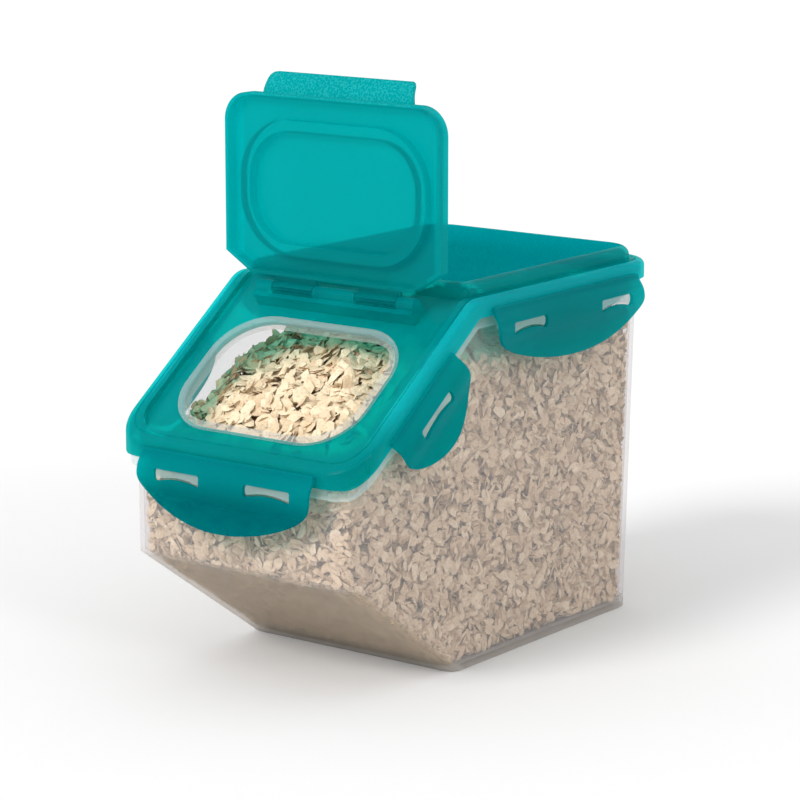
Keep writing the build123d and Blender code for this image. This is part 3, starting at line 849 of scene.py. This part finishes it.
class CANISTER_OT_oats(bpy.types.Operator):
    """Fills the tub with rolled oats: flakes against each wall and over the heap, round a dark core that is
    painted shade for the gaps between them.
    """

    bl_idname = "canister.oats"
    bl_label = "Fill with oats"

    def execute(self, context):
        fill = context.scene.canister_fill
        pale = tuple(context.scene.canister_colours.oats)
        flake = oat_material("Rolled oat", pale, OAT_WARM, OAT_SHADE)
        rng = np.random.default_rng(SEED)
        self.walls(rng, flake, fill.wall_flakes, fill.split_y)
        self.foot(rng, flake, fill.foot_flakes)
        self.heap(rng, flake, fill.top_flakes)
        # The core takes three dark oat colours: painted shade for the gaps between the flakes.
        self.core(oat_material("Painted oat shade", *SHADED_CORE_COLOURS), fill.core_gap)
        return {"FINISHED"}

    def add(self, name, rng, points, material, slack=WALL_SLACK):
        """Keeps the flakes that are inside the tub and under the heap, and makes them one piece."""
        points = settle(points, SETTLE_GAP)
        middle = points.mean(1)
        under = middle[:, 2] < heap_height(middle[:, 0], middle[:, 1]) + slack
        flakes_piece(name, rng, points[inside_tub(points, LEAST_GAP) & under], material)

    def walls(self, rng, material, count, split_y):
        """Flakes against the upright walls: a piece for each end, and two for each side."""
        centres, normals = wall_spots(rng, count)
        bent = np.abs(normals[:, 0] * normals[:, 1]) > 0.01
        keep = CLEARANCE + rng.uniform(0, WALL_DEPTH, count) * np.where(bent, CORNER_DEPTH, 1)
        points = lay_flakes(rng, centres, normals, WALL_TUMBLE, WALL_LONG, WALL_SHORT, keep)
        middle = points[bent].mean(1, keepdims=True)
        points[bent] = middle + CORNER_SIZE * (points[bent] - middle)
        on_side, right, ahead = np.abs(normals[:, 0]) > 0.7, normals[:, 0] > 0, normals[:, 1] < 0
        forward = centres[:, 1] < split_y
        for name, which in (
            ("oats_right_front", on_side & right & forward),
            ("oats_right_rear", on_side & right & ~forward),
            ("oats_left_front", on_side & ~right & forward),
            ("oats_left_rear", on_side & ~right & ~forward),
            ("oats_front", ~on_side & ahead),
            ("oats_rear", ~on_side & ~ahead),
        ):
            self.add(name, rng, points[which], material)

    def foot(self, rng, material, count):
        """Flakes against the sloping foot."""
        z = rng.uniform(LOWEST, FOOT_Z, count)
        centres = np.stack([rng.uniform(-FOOT_HALF, FOOT_HALF, count), front_inside(z), z], 1)
        run = FOOT_FRONT - TUB_FRONT
        normals = np.tile(np.array([0.0, -FOOT_Z, -run]) / math.hypot(FOOT_Z, run), (count, 1))
        keep = CLEARANCE + rng.uniform(0, FOOT_DEPTH, count)
        points = lay_flakes(rng, centres, normals, FOOT_TUMBLE, WALL_LONG, WALL_SHORT, keep)
        self.add("oats_foot", rng, points, material)

    def heap(self, rng, material, count):
        """Flakes over the heap, square to its slope."""
        x = rng.uniform(-HEAP_REACH, HEAP_REACH, count)
        y = rng.uniform(TUB_FRONT + HEAP_INSET, TUB_REAR - HEAP_INSET, count)
        step = 0.002
        rise_x = (heap_height(x + step, y) - heap_height(x - step, y)) / (2 * step)
        rise_y = (heap_height(x, y + step) - heap_height(x, y - step)) / (2 * step)
        normals = np.stack([-rise_x, -rise_y, np.ones(count)], 1)
        normals /= np.linalg.norm(normals, axis=1)[:, None]
        centres = np.stack([x, y, heap_height(x, y) - rng.uniform(0, HEAP_DEPTH, count)], 1)
        points = lay_flakes(rng, centres, normals, HEAP_TUMBLE, HEAP_LONG, HEAP_SHORT)
        self.add("oats_heap", rng, points, material, slack=HEAP_SLACK)

    def core(self, material, gap):
        """Core: a dark surface, painted shade for the gaps between the flakes, made of rings of a rounded
        rectangle stacked from the floor to the heap, closed below and above.

        A ring's point at angle t is the point at t of a rounded square of power 8, scaled to the tub's
        half width and to its front and rear at that height, all drawn in by the gap. A few passes settle
        the rings' heights, because the heap over a point depends on where the point comes to lie.
        """
        rows, columns, caps, power, passes = 40, 96, 14, 8, 4
        t = np.linspace(0, 2 * np.pi, columns, endpoint=False)
        unit = 1 / (np.abs(np.cos(t)) ** power + np.abs(np.sin(t)) ** power) ** (1 / power)
        share = np.linspace(0, 1, rows)[:, None]
        low = TUB_FLOOR + CORE_RISE
        spot_z = np.full((rows, columns), low)
        for _ in range(passes):
            front, rear = front_inside(spot_z) + gap, TUB_REAR - TUB_WALL - gap
            x = (half_width(spot_z) - gap) * unit * np.cos(t)
            y = (front + rear) / 2 + (rear - front) / 2 * unit * np.sin(t)
            spot_z = low + share * (heap_height(x, y) - CORE_DROP - low)
        walls = np.stack([x, y, spot_z], -1).reshape(-1, 3)
        middle_y = (front + rear) / 2
        fade = np.linspace(1, 0, caps + 1)[1:-1][:, None]
        top_x, top_y = x[-1:] * fade, middle_y[-1:] + (y[-1:] - middle_y[-1:]) * fade
        top = np.stack([top_x, top_y, heap_height(top_x, top_y) - CORE_DROP], -1).reshape(-1, 3)
        peak_y, foot_y = float(middle_y[-1].mean()), float(middle_y[0].mean())
        ends = np.array([[0, peak_y, heap_height(0.0, peak_y) - CORE_DROP], [0, foot_y, low]])
        points = np.concatenate([walls, top, ends])
        total = rows + caps - 1
        ring, after = np.arange(columns), (np.arange(columns) + 1) % columns
        last, peak, foot = (total - 1) * columns, total * columns, total * columns + 1
        faces = [
            tube_triangles(total, columns),
            np.stack([last + ring, last + after, np.full(columns, peak)], 1),
            np.stack([after, ring, np.full(columns, foot)], 1),
        ]
        tone = np.full(len(points), 0.5)
        make_piece("oats_shade_core", points, np.concatenate(faces), material, tone, smooth=True)


class CANISTER_OT_stage(bpy.types.Operator):
    """Sets the plain pale floor, the soft studio lights, the world and the camera."""

    bl_idname = "canister.stage"
    bl_label = "Set the stage"

    def execute(self, context):
        scene = context.scene
        self.floor(scene)
        world = bpy.data.worlds.new("studio")
        world.use_nodes = True
        background = world.node_tree.nodes["Background"]
        background.inputs["Color"].default_value = (1.0, 1.0, 1.0, 1.0)
        background.inputs["Strength"].default_value = 1.0
        scene.world = world
        for name, aim, strength, spread in SUNS:
            lamp = bpy.data.lights.new(name, "SUN")
            lamp.energy, lamp.angle = strength, math.radians(spread)
            holder = bpy.data.objects.new(name, lamp)
            holder.rotation_euler = Vector(aim).to_track_quat("-Z", "Y").to_euler()
            scene.collection.objects.link(holder)
        self.camera(scene)
        scene.view_settings.view_transform = "Standard"
        return {"FINISHED"}

    def floor(self, scene):
        """A plain square under the canister."""
        mesh = bpy.data.meshes.new("floor")
        corners = [
            (x * FLOOR_SIDE, y * FLOOR_SIDE, FLOOR_HEIGHT) for x, y in ((-1, -1), (1, -1), (1, 1), (-1, 1))
        ]
        mesh.from_pydata(corners, [], [(0, 1, 2, 3)])
        piece = bpy.data.objects.new("floor", mesh)
        scene.collection.objects.link(piece)
        material, tree, out = new_material("Pale floor")
        matt = tree.nodes.new("ShaderNodeBsdfDiffuse")
        matt.inputs["Color"].default_value = (FLOOR_TONE, FLOOR_TONE, FLOOR_TONE, 1.0)
        tree.links.new(matt.outputs[0], out.inputs["Surface"])
        mesh.materials.append(material)

    def camera(self, scene):
        """The camera, in front on the right and a little above."""
        lens = bpy.data.cameras.new("camera")
        lens.sensor_width, lens.lens = SENSOR, LENS
        lens.clip_start, lens.clip_end = 0.05, 60.0
        camera = bpy.data.objects.new("camera", lens)
        level = math.cos(ELEVATION)
        back = Vector((math.sin(AZIMUTH) * level, -math.cos(AZIMUTH) * level, math.sin(ELEVATION)))
        camera.location = CAMERA_PLACE
        camera.rotation_euler = (-back).to_track_quat("-Z", "Y").to_euler()
        scene.collection.objects.link(camera)
        scene.camera = camera


class CANISTER_PT_looks(bpy.types.Panel):
    """Lists the canister's pieces in the sidebar."""

    bl_idname = "CANISTER_PT_looks"
    bl_label = "Food canister"
    bl_space_type = "VIEW_3D"
    bl_region_type = "UI"
    bl_category = "Canister"

    def draw(self, context):
        for group in (context.scene.canister_colours, context.scene.canister_fill):
            for name in group.__annotations__:
                self.layout.prop(group, name)
        for operator in OPERATORS:
            self.layout.operator(operator.bl_idname)


OPERATORS = (
    CANISTER_OT_tub,
    CANISTER_OT_lid,
    CANISTER_OT_door,
    CANISTER_OT_latches,
    CANISTER_OT_seals,
    CANISTER_OT_oats,
    CANISTER_OT_stage,
)
CLASSES = (CanisterColours, CanisterFill, *OPERATORS, CANISTER_PT_looks)


def register():
    """Registers the classes and the scene's settings."""
    for cls in CLASSES:
        bpy.utils.register_class(cls)
    bpy.types.Scene.canister_colours = bpy.props.PointerProperty(type=CanisterColours)
    bpy.types.Scene.canister_fill = bpy.props.PointerProperty(type=CanisterFill)


def unregister():
    """Removes the settings and the classes."""
    del bpy.types.Scene.canister_fill
    del bpy.types.Scene.canister_colours
    for cls in reversed(CLASSES):
        bpy.utils.unregister_class(cls)


def main():
    """Makes every piece and the stage."""
    register()
    for operator in OPERATORS:
        group, name = operator.bl_idname.split(".")
        getattr(getattr(bpy.ops, group), name)()


if __name__ == "__main__":
    main()
